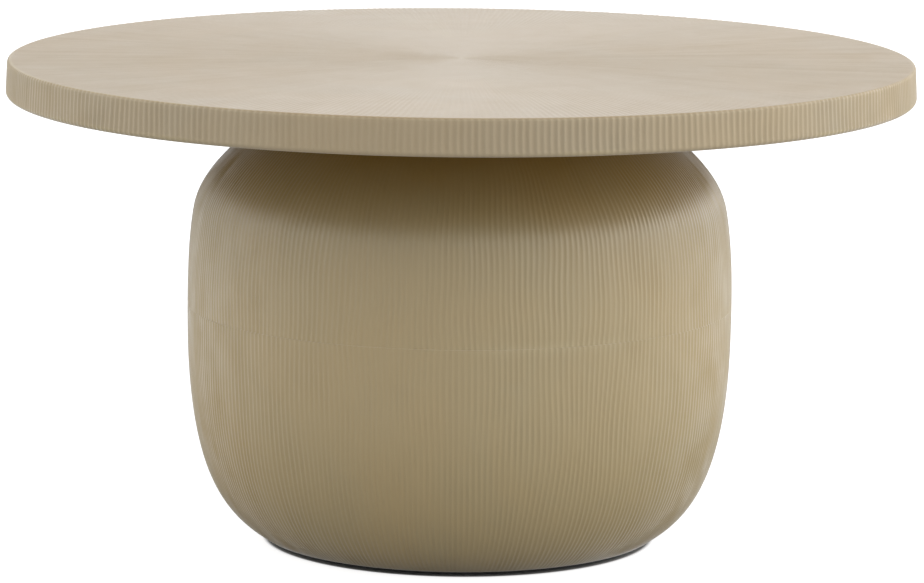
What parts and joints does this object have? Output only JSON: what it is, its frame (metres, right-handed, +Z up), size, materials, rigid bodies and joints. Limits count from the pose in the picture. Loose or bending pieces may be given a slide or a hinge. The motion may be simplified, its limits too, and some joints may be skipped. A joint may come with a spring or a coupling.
{
  "type": "round fluted drum pedestal coffee table",
  "caption": "Round cast coffee table: a finely fluted top with a drafted rim on a fluted drum pedestal made of two bowls, over a timber frame, with screw feet hidden in a recessed plinth.",
  "frame": {"origin": "on the floor, under the middle of the table, which stands on its four feet screwed all the way in", "axes": "+Z up along the axis of the round top and the drum pedestal; +X and +Y run through two of the four feet each way, and -Y is the side that the picture shows"},
  "size_m": [0.8594, 0.8594, 0.46],
  "materials": {
    "cast_body": "satin",
    "plywood": "matte",
    "timber": "matte",
    "sealed_board": "matte",
    "lap_band": "matte",
    "dark_plinth": "matte",
    "zinc_steel": "satin",
    "wood_screws": "satin",
    "foot_plastic": "matte"
  },
  "bodies": {
    "root": {"tabletop_shell": "cast_body", "core_hub": "plywood", "core_segment_1": "plywood", "core_segment_2": "plywood", "core_segment_3": "plywood", "core_segment_4": "plywood", "core_segment_5": "plywood", "core_segment_6": "plywood", "underside_board": "sealed_board", "board_screw_1": "wood_screws", "board_screw_2": "wood_screws", "board_screw_3": "wood_screws", "board_screw_4": "wood_screws", "board_screw_5": "wood_screws", "board_screw_6": "wood_screws", "top_tee_nut_1": "zinc_steel", "top_tee_nut_2": "zinc_steel", "top_tee_nut_3": "zinc_steel", "top_tee_nut_4": "zinc_steel", "top_washer_1": "zinc_steel", "top_washer_2": "zinc_steel", "top_washer_3": "zinc_steel", "top_washer_4": "zinc_steel", "top_bolt_1": "zinc_steel", "top_bolt_2": "zinc_steel", "top_bolt_3": "zinc_steel", "top_bolt_4": "zinc_steel", "pedestal_upper_shell": "cast_body", "pedestal_lower_shell": "cast_body", "girth_lap_ring": "lap_band", "head_disc": "plywood", "floor_board": "plywood", "post_1": "timber", "post_2": "timber", "post_3": "timber", "post_4": "timber", "post_upper_screw_1": "wood_screws", "post_upper_screw_2": "wood_screws", "post_upper_screw_3": "wood_screws", "post_upper_screw_4": "wood_screws", "post_lower_screw_1": "wood_screws", "post_lower_screw_2": "wood_screws", "post_lower_screw_3": "wood_screws", "post_lower_screw_4": "wood_screws", "plinth_ring": "dark_plinth", "foot_tee_nut_1": "zinc_steel", "foot_tee_nut_2": "zinc_steel", "foot_tee_nut_3": "zinc_steel", "foot_tee_nut_4": "zinc_steel"},
    "pad_1": {"foot_pad_1": "foot_plastic"},
    "pad_2": {"foot_pad_2": "foot_plastic"},
    "pad_3": {"foot_pad_3": "foot_plastic"},
    "pad_4": {"foot_pad_4": "foot_plastic"},
    "stem_1": {"foot_stem_1": "zinc_steel"},
    "stem_2": {"foot_stem_2": "zinc_steel"},
    "stem_3": {"foot_stem_3": "zinc_steel"},
    "stem_4": {"foot_stem_4": "zinc_steel"}
  },
  "joints": [
    {"name": "foot_1_extend", "type": "slide", "parent": "root", "child": "pad_1", "axis": [0, 0, -1], "range_m": [0, 0.01]},
    {"name": "foot_1_turn", "type": "hinge", "parent": "pad_1", "child": "stem_1", "pos_m": [0.1545, 0, 0], "axis": [0, 0, -1], "range_deg": [0, 2880]},
    {"name": "foot_2_extend", "type": "slide", "parent": "root", "child": "pad_2", "axis": [0, 0, -1], "range_m": [0, 0.01]},
    {"name": "foot_2_turn", "type": "hinge", "parent": "pad_2", "child": "stem_2", "pos_m": [0, 0.1545, 0], "axis": [0, 0, -1], "range_deg": [0, 2880]},
    {"name": "foot_3_extend", "type": "slide", "parent": "root", "child": "pad_3", "axis": [0, 0, -1], "range_m": [0, 0.01]},
    {"name": "foot_3_turn", "type": "hinge", "parent": "pad_3", "child": "stem_3", "pos_m": [-0.1545, 0, 0], "axis": [0, 0, -1], "range_deg": [0, 2880]},
    {"name": "foot_4_extend", "type": "slide", "parent": "root", "child": "pad_4", "axis": [0, 0, -1], "range_m": [0, 0.01]},
    {"name": "foot_4_turn", "type": "hinge", "parent": "pad_4", "child": "stem_4", "pos_m": [0, -0.1545, 0], "axis": [0, 0, -1], "range_deg": [0, 2880]}
  ],
  "couplings": [
    {"joint": "foot_1_turn", "follows": "foot_1_extend", "rad_per_m": 5026.5},
    {"joint": "foot_2_turn", "follows": "foot_2_extend", "rad_per_m": 5026.5},
    {"joint": "foot_3_turn", "follows": "foot_3_extend", "rad_per_m": 5026.5},
    {"joint": "foot_4_turn", "follows": "foot_4_extend", "rad_per_m": 5026.5}
  ]
}
